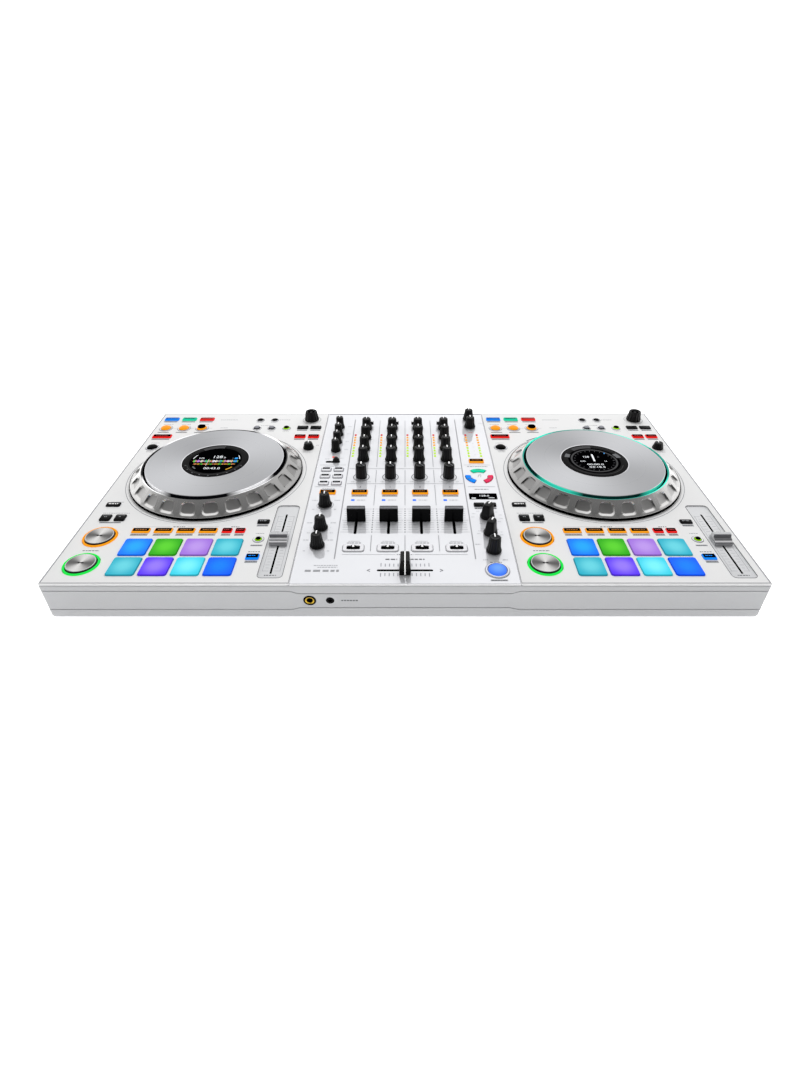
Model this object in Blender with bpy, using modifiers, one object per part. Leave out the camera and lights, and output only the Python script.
"""A two-deck DJ controller with a four-channel mixer between its decks.

The frame is metres with +Z up. +X is the player's right, +Y points to the rear panel and
the feet stand on Z = 0. The origin is under the middle of the controller. Lengths are
written in millimetres and turned into metres as each mesh is made. Rows of controls are
given as a distance from the FRONT_EDGE line.
"""

import math

import bmesh
import bpy
from mathutils import Matrix, Vector

MM = 0.001
TINY = 0.001
OVERCUT = 1.0

# Case and plates.
CASE_HALF_WIDTH = 358.0
CASE_FRONT = -200.0
CASE_REAR = 190.0
CASE_LOW = 5.0
CASE_RIM = 47.3
CASE_WALL = 2.5
CASE_CORNER = 7.0
CASE_CORNER_STEPS = 4
INNER_CORNER_STEPS = 2
PLATE_LOW = 47.6
PLATE_TOP = 49.5
PLATE_SIDE = 357.0
PLATE_FRONT = -198.8
PLATE_REAR = 188.6
MIXER_HALF = 112.7
PLATE_SEAM = 0.5
FRONT_EDGE = -197.0
GAP = 0.3

# Feet.
FOOT_RADIUS = 13.0
FOOT_STEPS = 20
FOOT_X = 318.0
FOOT_FRONT_Y = -168.0
FOOT_REAR_Y = 158.0

# Front face: two grooves and two headphone sockets.
GROOVE_SIZE = 0.9
GROOVE_BEND = 109.0
UPPER_GROOVE = (40.9, 37.7)
LOWER_GROOVE = (16.7, 19.2)
PHONES_Z = 28.8
PHONES_LARGE_X = -94.3
PHONES_SMALL_X = -74.1
LARGE_JACK_RADIUS = 3.3
SMALL_JACK_RADIUS = 1.8
LARGE_JACK_DEPTH = 28.0
SMALL_JACK_DEPTH = 15.0
JACK_BODY = 13.0

# Circuit board with the blocks that the controls stand on.
BOARD_LOW = 12.0
BOARD_TOP = 13.6
BOARD_HALF_WIDTH = 346.0
BOARD_FRONT = -188.0
BOARD_REAR = 172.5
BLOCK_TOP = 40.7
SHAFT_LOW = 41.0
PLUNGER_LOW = 42.5
POT_SIZE = 10.0
TRACK_END = 8.0
TRACK_HALF_WIDTH = 5.0
BLOCK_SINK = 0.4

# Decks.
DECK_X = 234.5
JOG_X = 233.6
JOG_ROW = 208.7
JOG_STEPS = 40
JOG_SIDE_GAP = 0.4
JOG_RING_OUTER = 104.3
JOG_RING_INNER = 85.3
JOG_RING_THROAT = 81.3
JOG_RING_CREST = 88.4
JOG_RING_SLOPE_END = 102.5
JOG_RING_TOP = 18.4
JOG_RING_SLOPE_FOOT = 7.0
JOG_RING_EDGE = 5.4
JOG_RING_LOW = 1.0
JOG_RING_SHELF = 11.5
JOG_RING_SEAT = 12.6
JOG_PLATTER_RADIUS = 85.0
JOG_PLATTER_HEIGHT = 19.5
JOG_PLATTER_EDGE = 13.4
JOG_CONE_LOW = 5.0
JOG_HUB_RADIUS = 15.0
JOG_FLANGE_RADIUS = 20.0
JOG_FLANGE_DROP = 0.5
JOG_FLANGE_THICK = 3.0
JOG_HOLE_RADIUS = 16.0
JOG_HOLE_STEPS = 32
JOG_POST_RADIUS = 10.0
JOG_POST_CLEARANCE = 1.0
JOG_DISPLAY_RADIUS = 39.6
JOG_DISPLAY_BED = 9.5

# Cue and play buttons.
TRANSPORT_X = -92.7
CUE_ROW = 74.8
PLAY_ROW = 28.1
TRANSPORT_RADIUS = 17.6
TRANSPORT_RISE = 2.6
BUTTON_BEVEL = 1.2
BUTTON_LIP = 2.0
BUTTON_LIP_THICK = 1.5
BUTTON_STEPS = 24

# Pads.
PAD_PITCH = 32.15
PAD_SIZE = 28.4
PAD_CORNER = 2.2
PAD_CORNER_STEPS = 1
PAD_ROW = 40.35
PAD_RISE = 1.5
PAD_COLUMNS = 4
PAD_ROWS = 2
SHEET_LOW = 43.2
SHEET_TOP = 44.6
SHEET_MARGIN = 2.2

# Faders: a cap's foot in X and Y, its height over the plate, and its top in X and Y.
SLOT_WIDTH = 2.6
SLOT_END = 2.6
CARRIAGE_SIZE = 8.0
CARRIAGE_HEIGHT = 3.0
CAP_FOOT_HEIGHT = 2.0
TEMPO_X = 100.8
TEMPO_ROW = 66.8
TEMPO_TRAVEL = 96.0
TEMPO_CAP = (21.5, 20.0, 9.5, 20.2, 11.0)
TEMPO_WELL_ROW = 71.6
TEMPO_WELL_SIZE = (24.8, 129.0)
TEMPO_WELL_DEPTH = 0.8
TEMPO_WELL_CORNER = 6.0
TEMPO_WELL_STEPS = 3

# Browse rotaries.
BROWSE_X = 98.7
BROWSE_ROW = 364.0

# Mixer.
CHANNEL_PITCH = 36.08
CHANNELS = 4
TRIM_ROW = 334.0
HIGH_ROW = 305.0
MID_ROW = 273.5
LOW_ROW = 243.5
FILTER_ROW = 200.7
CHANNEL_FADER_ROW = 106.6
CHANNEL_FADER_TRAVEL = 45.0
CHANNEL_CAP = (20.8, 11.0, 17.0, 20.2, 5.5)
CROSSFADER_ROW = 18.7
CROSSFADER_TRAVEL = 45.0
CROSSFADER_CAP = (11.5, 17.0, 18.3, 5.8, 16.2)
SIDE_X = 92.3
MONITOR_ROWS = {"mix": 137.0, "level": 91.0, "sampler": 59.0}
MASTER_ROWS = {"level": 365.0, "booth": 340.0}
EFFECT_ROWS = {"select": 113.0, "channel": 81.0, "depth": 50.0}
EFFECT_ON_ROW = 18.5
EFFECT_ON_RADIUS = 9.0
EFFECT_ON_RISE = 4.5

# Knobs: skirt radius, body radius, height over the plate, height of the skirt.
KNOB_STEPS = 16
KNOB_LIFT = 0.8
KNOB_TAPER = 0.2
SHAFT_RADIUS = 3.0
SHAFT_HOLE_RADIUS = 3.6
SHAFT_HOLE_STEPS = 12
TRIM_KNOB = (7.9, 5.9, 16.8, 5.5)
EQ_KNOB = (7.9, 5.9, 19.0, 5.5)
FILTER_KNOB = (6.9, 5.85, 18.3, 2.0)
SIDE_KNOB = (8.0, 5.8, 16.0, 5.0)
EFFECT_KNOB = (8.3, 6.6, 18.0, 3.0)
BROWSE_KNOB = (10.4, 8.2, 14.0, 2.0)

# Rear panel.
PANEL_HALF_WIDTH = 348.0
PANEL_THICK = 3.0
PANEL_LOW = 7.9
PHONO_RADIUS = 4.2
PHONO_STEPS = 12
PHONO_REACH = 10.0
PHONO_PITCH = 14.0
PHONO_PAIRS_X = (172.0, 136.0, 64.0, 28.0)
PHONO_UPPER_Z = 34.0
PHONO_LOWER_Z = 20.0
SOCKET_Z = 27.0
BALANCED_X = (-20.0, -50.0)
BALANCED_RADIUS = 9.6
BALANCED_STEPS = 24
BALANCED_DEPTH = 12.0
BALANCED_BODY = 24.0
LINE_JACK_X = (-88.0, -108.0, -250.0, -276.0)
LINE_JACK_DEPTH = 26.0
USB_X = (232.0, 256.0)
USB_SIZE = (12.2, 11.0)
USB_BODY = 16.2
USB_DEPTH = 14.0
POWER_X = 290.0
POWER_RADIUS = 3.4
POWER_DEPTH = 11.0

COLOURS = {
    "case_grey": ((0.50, 0.51, 0.52), 0.45, 0.0),
    "plate_white": ((0.86, 0.86, 0.85), 0.50, 0.0),
    "mixer_white": ((0.85, 0.87, 0.90), 0.15, 0.0),
    "panel_grey": ((0.45, 0.46, 0.47), 0.50, 0.0),
    "board_green": ((0.05, 0.20, 0.10), 0.60, 0.0),
    "foot_rubber": ((0.03, 0.03, 0.03), 0.85, 0.0),
    "knob_black": ((0.03, 0.03, 0.03), 0.55, 0.0),
    "pad_silicone": ((0.55, 0.60, 0.85), 0.60, 0.0),
    "button_silver": ((0.70, 0.70, 0.71), 0.30, 0.9),
    "fader_silver": ((0.55, 0.56, 0.57), 0.35, 0.8),
    "ring_metal": ((0.35, 0.35, 0.36), 0.35, 0.9),
    "platter_silver": ((0.68, 0.68, 0.69), 0.28, 0.95),
    "display_glass": ((0.02, 0.02, 0.03), 0.08, 0.0),
    "effect_blue": ((0.05, 0.15, 0.80), 0.30, 0.0),
}


def clear_scene():
    """Remove every object that the file starts with."""
    for obj in list(bpy.data.objects):
        bpy.data.objects.remove(obj, do_unlink=True)


def new_collection(name):
    collection = bpy.data.collections.new(name)
    bpy.context.scene.collection.children.link(collection)
    return collection


def material(name):
    """The Principled material of that name, made the first time it is asked for."""
    made = bpy.data.materials.get(name)
    if made:
        return made
    colour, roughness, metallic = COLOURS[name]
    made = bpy.data.materials.new(name)
    made.use_nodes = True
    shader = made.node_tree.nodes["Principled BSDF"]
    shader.inputs["Base Color"].default_value = (*colour, 1.0)
    shader.inputs["Roughness"].default_value = roughness
    shader.inputs["Metallic"].default_value = metallic
    made.diffuse_color = (*colour, 1.0)
    return made


def row(distance):
    """World Y of a row of controls, from its distance behind the front edge line."""
    return FRONT_EDGE + distance


def add_box(bm, low, high, corner=0.0, corner_steps=1):
    """A box between two corners, with its upright edges rounded if a corner radius is given."""
    low = Vector(low)
    high = Vector(high)
    place = Matrix.LocRotScale((low + high) / 2, None, high - low)
    made = bmesh.ops.create_cube(bm, size=1.0, matrix=place)["verts"]
    if corner:
        edges = {edge for vert in made for edge in vert.link_edges}
        upright = [e for e in edges if abs(e.verts[0].co.z - e.verts[1].co.z) > TINY]
        bmesh.ops.bevel(
            bm, geom=upright, offset=corner, segments=corner_steps, profile=0.5, affect="EDGES"
        )


def add_cylinder(bm, x, y, radius, low, high, sides=16):
    """An upright cylinder."""
    bmesh.ops.create_cone(
        bm,
        cap_ends=True,
        segments=sides,
        radius1=radius,
        radius2=radius,
        depth=high - low,
        matrix=Matrix.Translation((x, y, (low + high) / 2)),
    )


def add_rod(bm, x, z, radius, front, rear, sides=16):
    """A cylinder along Y, from front to rear."""
    bmesh.ops.create_cone(
        bm,
        cap_ends=True,
        segments=sides,
        radius1=radius,
        radius2=radius,
        depth=rear - front,
        matrix=Matrix.Translation((x, (front + rear) / 2, z)) @ Matrix.Rotation(math.pi / 2, 4, "X"),
    )


def place_object(name, bm, colour, place=(0.0, 0.0, 0.0), collection=None):
    """An object from a mesh in millimetres, placed in metres."""
    bmesh.ops.scale(bm, vec=(MM, MM, MM), verts=bm.verts)
    mesh = bpy.data.meshes.new(name)
    bm.to_mesh(mesh)
    bm.free()
    mesh.materials.append(material(colour))
    obj = bpy.data.objects.new(name, mesh)
    obj.location = Vector(place) * MM
    (collection or PARTS).objects.link(obj)
    return obj


def carve(obj, bm, operation="DIFFERENCE"):
    """Cut the bodies of a mesh out of an object, or join them to it."""
    tool = place_object(f"{obj.name}_tool", bm, "knob_black", collection=CUTTERS)
    tool.hide_render = True
    tool.display_type = "WIRE"
    modifier = obj.modifiers.new(operation.title(), "BOOLEAN")
    modifier.operation = operation
    modifier.solver = "EXACT"
    modifier.object = tool


def turned(name, profile, colour, place, steps):
    """A closed body turned about Z from (radius, height) points, running down its outer side."""
    bm = bmesh.new()
    points = [bm.verts.new((radius, 0.0, height)) for radius, height in profile]
    pairs = list(zip(points, points[1:]))
    if profile[0][0] > TINY:
        pairs.append((points[-1], points[0]))
    for start, end in pairs:
        bm.edges.new((start, end))
    obj = place_object(name, bm, colour, place)
    screw = obj.modifiers.new("Turn", "SCREW")
    screw.steps = steps
    screw.render_steps = steps
    screw.use_merge_vertices = True
    screw.merge_threshold = 0.00001
    screw.use_smooth_shade = True
    return obj


def channel_x(index):
    """World X of a mixer channel, counted from the left."""
    return (index - (CHANNELS - 1) / 2) * CHANNEL_PITCH


def deck_sides():
    """Each deck's name and the X of its middle. The right deck repeats the left one."""
    return (("left", -DECK_X), ("right", DECK_X))


def jog_x(deck):
    """World X of a deck's jog wheel."""
    return math.copysign(JOG_X, deck)


def knob_places():
    """Every knob as a name, its X, its row and its shape."""
    knobs = []
    for index in range(CHANNELS):
        channel = f"channel_{index + 1}"
        x = channel_x(index)
        knobs.append((f"{channel}_trim_knob", x, TRIM_ROW, TRIM_KNOB))
        knobs.append((f"{channel}_high_knob", x, HIGH_ROW, EQ_KNOB))
        knobs.append((f"{channel}_mid_knob", x, MID_ROW, EQ_KNOB))
        knobs.append((f"{channel}_low_knob", x, LOW_ROW, EQ_KNOB))
        knobs.append((f"{channel}_filter_knob", x, FILTER_ROW, FILTER_KNOB))
    for name, distance in MONITOR_ROWS.items():
        knobs.append((f"monitor_{name}_knob", -SIDE_X, distance, SIDE_KNOB))
    for name, distance in MASTER_ROWS.items():
        knobs.append((f"master_{name}_knob", SIDE_X, distance, SIDE_KNOB))
    for name, distance in EFFECT_ROWS.items():
        knobs.append((f"effect_{name}_knob", SIDE_X, distance, EFFECT_KNOB))
    for side, x in deck_sides():
        knobs.append((f"browse_knob_{side}", x + BROWSE_X, BROWSE_ROW, BROWSE_KNOB))
    return knobs


def pad_places(deck_x):
    """The middle of each pad in a deck's sheet, as X and Y."""
    for column in range(PAD_COLUMNS):
        x = deck_x + (column - (PAD_COLUMNS - 1) / 2) * PAD_PITCH
        for line in range(PAD_ROWS):
            yield x, row(PAD_ROW + (line - (PAD_ROWS - 1) / 2) * PAD_PITCH)


def groove_pieces(outer_z, inner_z):
    """One front groove: level at outer_z, stepping to inner_z between the two bends."""
    front = CASE_FRONT - OVERCUT
    reach = CASE_FRONT + GROOVE_SIZE
    half = GROOVE_SIZE / 2
    end = CASE_HALF_WIDTH + OVERCUT
    bm = bmesh.new()
    for low_x, high_x, z in (
        (-end, -GROOVE_BEND, outer_z),
        (-GROOVE_BEND, GROOVE_BEND, inner_z),
        (GROOVE_BEND, end, outer_z),
    ):
        add_box(bm, (low_x, front, z - half), (high_x, reach, z + half))
    return bm


def build_case():
    """The tray: floor, front and side walls, and the headphone sockets' bodies."""
    bm = bmesh.new()
    low = (-CASE_HALF_WIDTH, CASE_FRONT, CASE_LOW)
    high = (CASE_HALF_WIDTH, CASE_REAR, CASE_RIM)
    add_box(bm, low, high, CASE_CORNER, CASE_CORNER_STEPS)
    case = place_object("bottom_case", bm, "case_grey")

    inner_side = CASE_HALF_WIDTH - CASE_WALL
    floor = CASE_LOW + CASE_WALL
    bm = bmesh.new()
    low = (-inner_side, CASE_FRONT + CASE_WALL, floor)
    high = (inner_side, CASE_REAR - CASE_WALL, CASE_RIM + OVERCUT)
    add_box(bm, low, high, CASE_CORNER - CASE_WALL, INNER_CORNER_STEPS)
    carve(case, bm)
    bm = bmesh.new()
    window = PANEL_HALF_WIDTH + GAP
    low = (-window, CASE_REAR - 2 * CASE_WALL, floor)
    add_box(bm, low, (window, CASE_REAR + OVERCUT, CASE_RIM + OVERCUT))
    carve(case, bm)

    inside = CASE_FRONT + CASE_WALL - BLOCK_SINK
    bm = bmesh.new()
    half = JACK_BODY / 2
    for x, depth in ((PHONES_LARGE_X, LARGE_JACK_DEPTH), (PHONES_SMALL_X, SMALL_JACK_DEPTH)):
        rear = CASE_FRONT + depth + CASE_WALL
        add_box(bm, (x - half, inside, PHONES_Z - half), (x + half, rear, PHONES_Z + half))
    carve(case, bm, "UNION")

    bm = bmesh.new()
    front = CASE_FRONT - OVERCUT
    add_rod(bm, PHONES_LARGE_X, PHONES_Z, LARGE_JACK_RADIUS, front, CASE_FRONT + LARGE_JACK_DEPTH)
    add_rod(bm, PHONES_SMALL_X, PHONES_Z, SMALL_JACK_RADIUS, front, CASE_FRONT + SMALL_JACK_DEPTH)
    carve(case, bm)
    carve(case, groove_pieces(*UPPER_GROOVE))
    carve(case, groove_pieces(*LOWER_GROOVE))


def build_feet():
    places = {
        "foot_front_left": (-FOOT_X, FOOT_FRONT_Y),
        "foot_front_right": (FOOT_X, FOOT_FRONT_Y),
        "foot_rear_left": (-FOOT_X, FOOT_REAR_Y),
        "foot_rear_right": (FOOT_X, FOOT_REAR_Y),
    }
    for name, (x, y) in places.items():
        bm = bmesh.new()
        add_cylinder(bm, 0, 0, FOOT_RADIUS, 0, CASE_LOW - GAP, FOOT_STEPS)
        place_object(name, bm, "foot_rubber", (x, y, 0))


def build_board():
    """The circuit board, with one block under each control and a hole round each jog post."""
    bm = bmesh.new()
    low = (-BOARD_HALF_WIDTH, BOARD_FRONT, BOARD_LOW)
    add_box(bm, low, (BOARD_HALF_WIDTH, BOARD_REAR, BOARD_TOP))
    board = place_object("main_board", bm, "board_green")

    foot = BOARD_TOP - BLOCK_SINK
    half = POT_SIZE / 2
    bm = bmesh.new()
    for _name, x, distance, _shape in knob_places():
        y = row(distance)
        add_box(bm, (x - half, y - half, foot), (x + half, y + half, BLOCK_TOP))
    for index in range(CHANNELS):
        add_track(bm, channel_x(index), row(CHANNEL_FADER_ROW), CHANNEL_FADER_TRAVEL, False)
    add_track(bm, 0, row(CROSSFADER_ROW), CROSSFADER_TRAVEL, True)
    y = row(EFFECT_ON_ROW)
    add_box(bm, (SIDE_X - half, y - half, foot), (SIDE_X + half, y + half, BLOCK_TOP))
    for _side, deck in deck_sides():
        add_track(bm, deck + TEMPO_X, row(TEMPO_ROW), TEMPO_TRAVEL, False)
        for distance in (CUE_ROW, PLAY_ROW):
            x = deck + TRANSPORT_X
            y = row(distance)
            add_box(bm, (x - half, y - half, foot), (x + half, y + half, BLOCK_TOP))
        reach_x = PAD_PITCH * PAD_COLUMNS / 2
        reach_y = PAD_PITCH * PAD_ROWS / 2
        y = row(PAD_ROW)
        low = (deck - reach_x, y - reach_y, foot)
        add_box(bm, low, (deck + reach_x, y + reach_y, BLOCK_TOP))
    carve(board, bm, "UNION")

    bm = bmesh.new()
    for _side, deck in deck_sides():
        hole = JOG_POST_RADIUS + JOG_POST_CLEARANCE
        low = BOARD_LOW - OVERCUT
        add_cylinder(bm, jog_x(deck), row(JOG_ROW), hole, low, BOARD_TOP + OVERCUT)
    carve(board, bm)


def add_track(bm, x, y, travel, sideways):
    """The body of a fader's track, along Y, or along X where it is sideways."""
    long_half = travel / 2 + TRACK_END
    half_x = long_half if sideways else TRACK_HALF_WIDTH
    half_y = TRACK_HALF_WIDTH if sideways else long_half
    foot = BOARD_TOP - BLOCK_SINK
    add_box(bm, (x - half_x, y - half_y, foot), (x + half_x, y + half_y, BLOCK_TOP))


def plate_body(name, low_x, high_x, colour):
    bm = bmesh.new()
    low = (low_x, PLATE_FRONT, PLATE_LOW)
    add_box(bm, low, (high_x, PLATE_REAR, PLATE_TOP))
    return place_object(name, bm, colour)


def add_slot(bm, x, y, travel, sideways=False):
    """A slot through a plate for a fader's stem."""
    long_half = travel / 2 + SLOT_END
    half_x = long_half if sideways else SLOT_WIDTH / 2
    half_y = SLOT_WIDTH / 2 if sideways else long_half
    low = (x - half_x, y - half_y, PLATE_LOW - OVERCUT)
    add_box(bm, low, (x + half_x, y + half_y, PLATE_TOP + OVERCUT))


def shaft_holes(low_x, high_x):
    """Cutters for the knob shafts between two sides of a plate."""
    low = PLATE_LOW - OVERCUT
    high = PLATE_TOP + OVERCUT
    bm = bmesh.new()
    for _name, x, distance, _shape in knob_places():
        if low_x < x < high_x:
            add_cylinder(bm, x, row(distance), SHAFT_HOLE_RADIUS, low, high, SHAFT_HOLE_STEPS)
    return bm


def build_deck_plate(side, deck):
    """A deck's top plate with its holes for the jog hub, buttons, pads, knob and fader."""
    inner = MIXER_HALF + PLATE_SEAM
    low_x = -PLATE_SIDE if deck < 0 else inner
    high_x = -inner if deck < 0 else PLATE_SIDE
    plate = plate_body(f"plate_{side}", low_x, high_x, "plate_white")
    bm = bmesh.new()
    half_x, half_y = (size / 2 for size in TEMPO_WELL_SIZE)
    x = deck + TEMPO_X
    y = row(TEMPO_WELL_ROW)
    low = (x - half_x, y - half_y, PLATE_TOP - TEMPO_WELL_DEPTH)
    high = (x + half_x, y + half_y, PLATE_TOP + OVERCUT)
    add_box(bm, low, high, TEMPO_WELL_CORNER, TEMPO_WELL_STEPS)
    carve(plate, bm)

    bm = shaft_holes(low_x, high_x)
    add_slot(bm, x, row(TEMPO_ROW), TEMPO_TRAVEL)
    low = PLATE_LOW - OVERCUT
    high = PLATE_TOP + OVERCUT
    add_cylinder(bm, jog_x(deck), row(JOG_ROW), JOG_HOLE_RADIUS, low, high, JOG_HOLE_STEPS)
    for distance in (CUE_ROW, PLAY_ROW):
        hole = TRANSPORT_RADIUS + JOG_SIDE_GAP
        add_cylinder(bm, deck + TRANSPORT_X, row(distance), hole, low, high, BUTTON_STEPS)
    half = PAD_SIZE / 2 + JOG_SIDE_GAP
    for pad_x, pad_y in pad_places(deck):
        corner = (pad_x - half, pad_y - half, low)
        add_box(bm, corner, (pad_x + half, pad_y + half, high), PAD_CORNER, PAD_CORNER_STEPS)
    carve(plate, bm)


def build_mixer_plate():
    """The mixer's top plate with its holes for knob shafts, fader stems and one button."""
    plate = plate_body("plate_mixer", -MIXER_HALF, MIXER_HALF, "mixer_white")
    bm = shaft_holes(-MIXER_HALF, MIXER_HALF)
    for index in range(CHANNELS):
        add_slot(bm, channel_x(index), row(CHANNEL_FADER_ROW), CHANNEL_FADER_TRAVEL)
    add_slot(bm, 0, row(CROSSFADER_ROW), CROSSFADER_TRAVEL, True)
    hole = EFFECT_ON_RADIUS + JOG_SIDE_GAP
    y = row(EFFECT_ON_ROW)
    low = PLATE_LOW - OVERCUT
    add_cylinder(bm, SIDE_X, y, hole, low, PLATE_TOP + OVERCUT, BUTTON_STEPS)
    carve(plate, bm)


def build_rear_panel():
    """The rear panel with the socket bodies behind it and the phono barrels outside it."""
    inside = CASE_REAR - PANEL_THICK
    bm = bmesh.new()
    low = (-PANEL_HALF_WIDTH, inside, PANEL_LOW)
    add_box(bm, low, (PANEL_HALF_WIDTH, CASE_REAR, CASE_RIM - GAP))
    panel = place_object("rear_panel", bm, "panel_grey")

    bm = bmesh.new()
    back = inside + BLOCK_SINK
    root = CASE_REAR - BLOCK_SINK
    reach = CASE_REAR + PHONO_REACH
    for pair_x in PHONO_PAIRS_X:
        for x in (pair_x - PHONO_PITCH / 2, pair_x + PHONO_PITCH / 2):
            for z in (PHONO_UPPER_Z, PHONO_LOWER_Z):
                add_rod(bm, x, z, PHONO_RADIUS, root, reach, PHONO_STEPS)
    for x in BALANCED_X:
        add_socket_body(bm, x, BALANCED_BODY, BALANCED_DEPTH, back)
    for x in LINE_JACK_X:
        add_socket_body(bm, x, JACK_BODY, LINE_JACK_DEPTH, back)
    for x in USB_X:
        add_socket_body(bm, x, USB_BODY, USB_DEPTH, back)
    add_socket_body(bm, POWER_X, JACK_BODY, POWER_DEPTH, back)
    carve(panel, bm, "UNION")

    bm = bmesh.new()
    outside = CASE_REAR + OVERCUT
    for x in BALANCED_X:
        front = CASE_REAR - BALANCED_DEPTH
        add_rod(bm, x, SOCKET_Z, BALANCED_RADIUS, front, outside, BALANCED_STEPS)
    for x in LINE_JACK_X:
        add_rod(bm, x, SOCKET_Z, LARGE_JACK_RADIUS, CASE_REAR - LINE_JACK_DEPTH, outside)
    half_x, half_z = (size / 2 for size in USB_SIZE)
    for x in USB_X:
        low = (x - half_x, CASE_REAR - USB_DEPTH, SOCKET_Z - half_z)
        add_box(bm, low, (x + half_x, outside, SOCKET_Z + half_z))
    add_rod(bm, POWER_X, SOCKET_Z, POWER_RADIUS, CASE_REAR - POWER_DEPTH, outside)
    carve(panel, bm)


def add_socket_body(bm, x, size, depth, back):
    """The block behind the panel that a socket is cut into."""
    half = size / 2
    low = (x - half, CASE_REAR - depth - CASE_WALL, SOCKET_Z - half)
    add_box(bm, low, (x + half, back, SOCKET_Z + half))


def build_jog(side, deck):
    """A jog wheel: ring and platter, turning round a fixed post that holds the display."""
    place = (jog_x(deck), row(JOG_ROW), PLATE_TOP)
    ring = [
        (JOG_RING_INNER, JOG_RING_TOP),
        (JOG_RING_CREST, JOG_RING_TOP),
        (JOG_RING_SLOPE_END, JOG_RING_SLOPE_FOOT),
        (JOG_RING_OUTER, JOG_RING_EDGE),
        (JOG_RING_OUTER, JOG_RING_LOW),
        (JOG_RING_THROAT, JOG_RING_LOW),
        (JOG_RING_THROAT, JOG_RING_SHELF),
        (JOG_RING_INNER, JOG_RING_SEAT),
    ]
    turned(f"jog_ring_{side}", ring, "ring_metal", place, JOG_STEPS)

    bore = JOG_POST_RADIUS + JOG_SIDE_GAP
    bed = JOG_DISPLAY_RADIUS + JOG_SIDE_GAP
    bed_height = JOG_DISPLAY_BED - JOG_SIDE_GAP
    flange_top = PLATE_LOW - PLATE_TOP - JOG_FLANGE_DROP
    flange_low = flange_top - JOG_FLANGE_THICK
    platter = [
        (bed, JOG_PLATTER_HEIGHT),
        (JOG_PLATTER_RADIUS, JOG_PLATTER_HEIGHT),
        (JOG_PLATTER_RADIUS, JOG_PLATTER_EDGE),
        (JOG_HUB_RADIUS, JOG_CONE_LOW),
        (JOG_HUB_RADIUS, flange_top),
        (JOG_FLANGE_RADIUS, flange_top),
        (JOG_FLANGE_RADIUS, flange_low),
        (bore, flange_low),
        (bore, bed_height),
        (bed, bed_height),
    ]
    turned(f"jog_platter_{side}", platter, "platter_silver", place, JOG_STEPS)

    post_foot = CASE_LOW + CASE_WALL + GAP - PLATE_TOP
    display = [
        (0.0, JOG_PLATTER_HEIGHT - GAP),
        (JOG_DISPLAY_RADIUS, JOG_PLATTER_HEIGHT - GAP),
        (JOG_DISPLAY_RADIUS, JOG_DISPLAY_BED),
        (JOG_POST_RADIUS, JOG_DISPLAY_BED),
        (JOG_POST_RADIUS, post_foot),
        (0.0, post_foot),
    ]
    turned(f"display_{side}", display, "display_glass", place, JOG_STEPS)


def build_button(name, x, distance, radius, rise, colour):
    """A round push button with a lip under the plate that keeps it in."""
    lip_top = PLATE_LOW - GAP - PLATE_TOP
    lip_low = lip_top - BUTTON_LIP_THICK
    plunger = PLUNGER_LOW - PLATE_TOP
    profile = [
        (0.0, rise),
        (radius - BUTTON_BEVEL, rise),
        (radius, rise - BUTTON_BEVEL),
        (radius, lip_top),
        (radius + BUTTON_LIP, lip_top),
        (radius + BUTTON_LIP, lip_low),
        (SHAFT_RADIUS, lip_low),
        (SHAFT_RADIUS, plunger),
        (0.0, plunger),
    ]
    turned(name, profile, colour, (x, row(distance), PLATE_TOP), BUTTON_STEPS)


def build_knob(name, x, distance, shape):
    """A knob on its shaft, which runs down through the plate to just over its block."""
    skirt, body, height, skirt_height = shape
    shaft = SHAFT_LOW - PLATE_TOP
    profile = [
        (0.0, height),
        (body, height),
        (body + KNOB_TAPER, skirt_height),
        (skirt, KNOB_LIFT),
        (SHAFT_RADIUS, KNOB_LIFT),
        (SHAFT_RADIUS, shaft),
        (0.0, shaft),
    ]
    turned(name, profile, "knob_black", (x, row(distance), PLATE_TOP), KNOB_STEPS)


def grow_up(bm, face, height, size_x, size_y):
    """Extrude a level face to a new height and size, and give back the new top face."""
    made = bmesh.ops.extrude_face_region(bm, geom=[face])["geom"]
    bmesh.ops.delete(bm, geom=[face], context="FACES_ONLY")
    verts = [item for item in made if isinstance(item, bmesh.types.BMVert)]
    for vert in verts:
        vert.co.x = math.copysign(size_x / 2, vert.co.x)
        vert.co.y = math.copysign(size_y / 2, vert.co.y)
        vert.co.z = height
    return next(item for item in made if isinstance(item, bmesh.types.BMFace))


def build_fader(name, x, distance, cap, colour, sunk=0.0):
    """A fader: carriage under the plate, stem through its slot and cap over it."""
    foot_x, foot_y, height, top_x, top_y = cap
    lift = KNOB_LIFT - sunk
    stem = SLOT_WIDTH - 2 * JOG_SIDE_GAP
    half = CARRIAGE_SIZE / 2
    carriage_low = SHAFT_LOW - PLATE_TOP
    carriage_top = carriage_low + CARRIAGE_HEIGHT
    bm = bmesh.new()
    add_box(bm, (-half, -half, carriage_low), (half, half, carriage_top))
    face = max(bm.faces, key=lambda item: item.calc_center_median().z)
    for level, wide, deep in (
        (carriage_top, stem, stem),
        (lift, stem, stem),
        (lift, foot_x, foot_y),
        (lift + CAP_FOOT_HEIGHT, foot_x, foot_y),
        (height, top_x, top_y),
    ):
        face = grow_up(bm, face, level, wide, deep)
    return place_object(name, bm, colour, (x, row(distance), PLATE_TOP))


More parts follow.
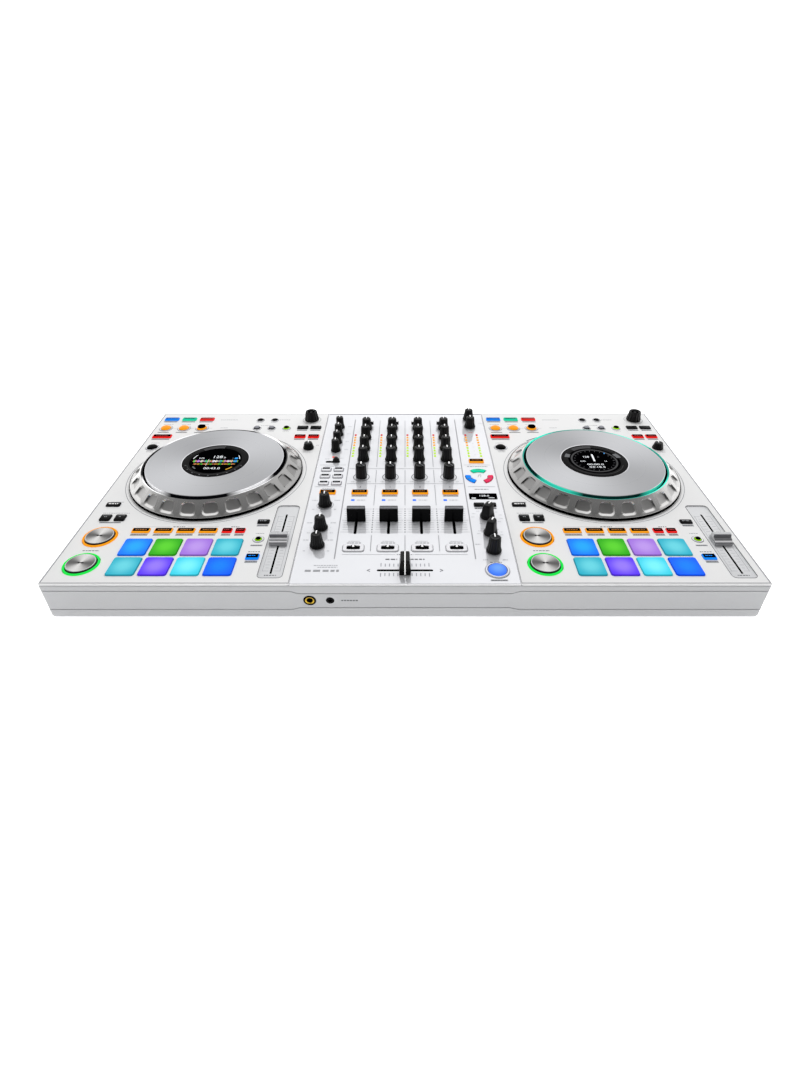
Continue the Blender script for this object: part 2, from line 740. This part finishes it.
def build_pad_sheet(side, deck):
    """One moulded sheet with the deck's pads standing up from it."""
    half = PAD_SIZE / 2
    reach_x = PAD_PITCH * (PAD_COLUMNS - 1) / 2 + half + SHEET_MARGIN
    reach_y = PAD_PITCH * (PAD_ROWS - 1) / 2 + half + SHEET_MARGIN
    bm = bmesh.new()
    low = (-reach_x, -reach_y, SHEET_LOW - PLATE_TOP)
    add_box(bm, low, (reach_x, reach_y, SHEET_TOP - PLATE_TOP))
    centre = (deck, row(PAD_ROW), PLATE_TOP)
    sheet = place_object(f"pad_sheet_{side}", bm, "pad_silicone", centre)
    bm = bmesh.new()
    for x, y in pad_places(deck):
        low = (x - half, y - half, SHEET_TOP - BLOCK_SINK)
        high = (x + half, y + half, PLATE_TOP + PAD_RISE)
        add_box(bm, low, high, PAD_CORNER, PAD_CORNER_STEPS)
    carve(sheet, bm, "UNION")


def build_decks():
    for side, deck in deck_sides():
        build_deck_plate(side, deck)
        build_jog(side, deck)
        build_pad_sheet(side, deck)
        x = deck + TRANSPORT_X
        for name, distance in (("cue", CUE_ROW), ("play", PLAY_ROW)):
            label = f"{name}_button_{side}"
            build_button(label, x, distance, TRANSPORT_RADIUS, TRANSPORT_RISE, "button_silver")
        x = deck + TEMPO_X
        label = f"tempo_fader_{side}"
        build_fader(label, x, TEMPO_ROW, TEMPO_CAP, "fader_silver", TEMPO_WELL_DEPTH / 2)


def build_mixer():
    build_mixer_plate()
    for index in range(CHANNELS):
        name = f"channel_{index + 1}_fader"
        x = channel_x(index)
        build_fader(name, x, CHANNEL_FADER_ROW, CHANNEL_CAP, "knob_black")
    build_fader("crossfader", 0, CROSSFADER_ROW, CROSSFADER_CAP, "knob_black")
    build_button(
        "effect_on_button", SIDE_X, EFFECT_ON_ROW, EFFECT_ON_RADIUS, EFFECT_ON_RISE, "effect_blue"
    )


clear_scene()
PARTS = new_collection("dj_controller")
CUTTERS = new_collection("cutters")
build_case()
build_feet()
build_board()
build_rear_panel()
build_decks()
build_mixer()
for knob_name, knob_x, knob_row, knob_shape in knob_places():
    build_knob(knob_name, knob_x, knob_row, knob_shape)
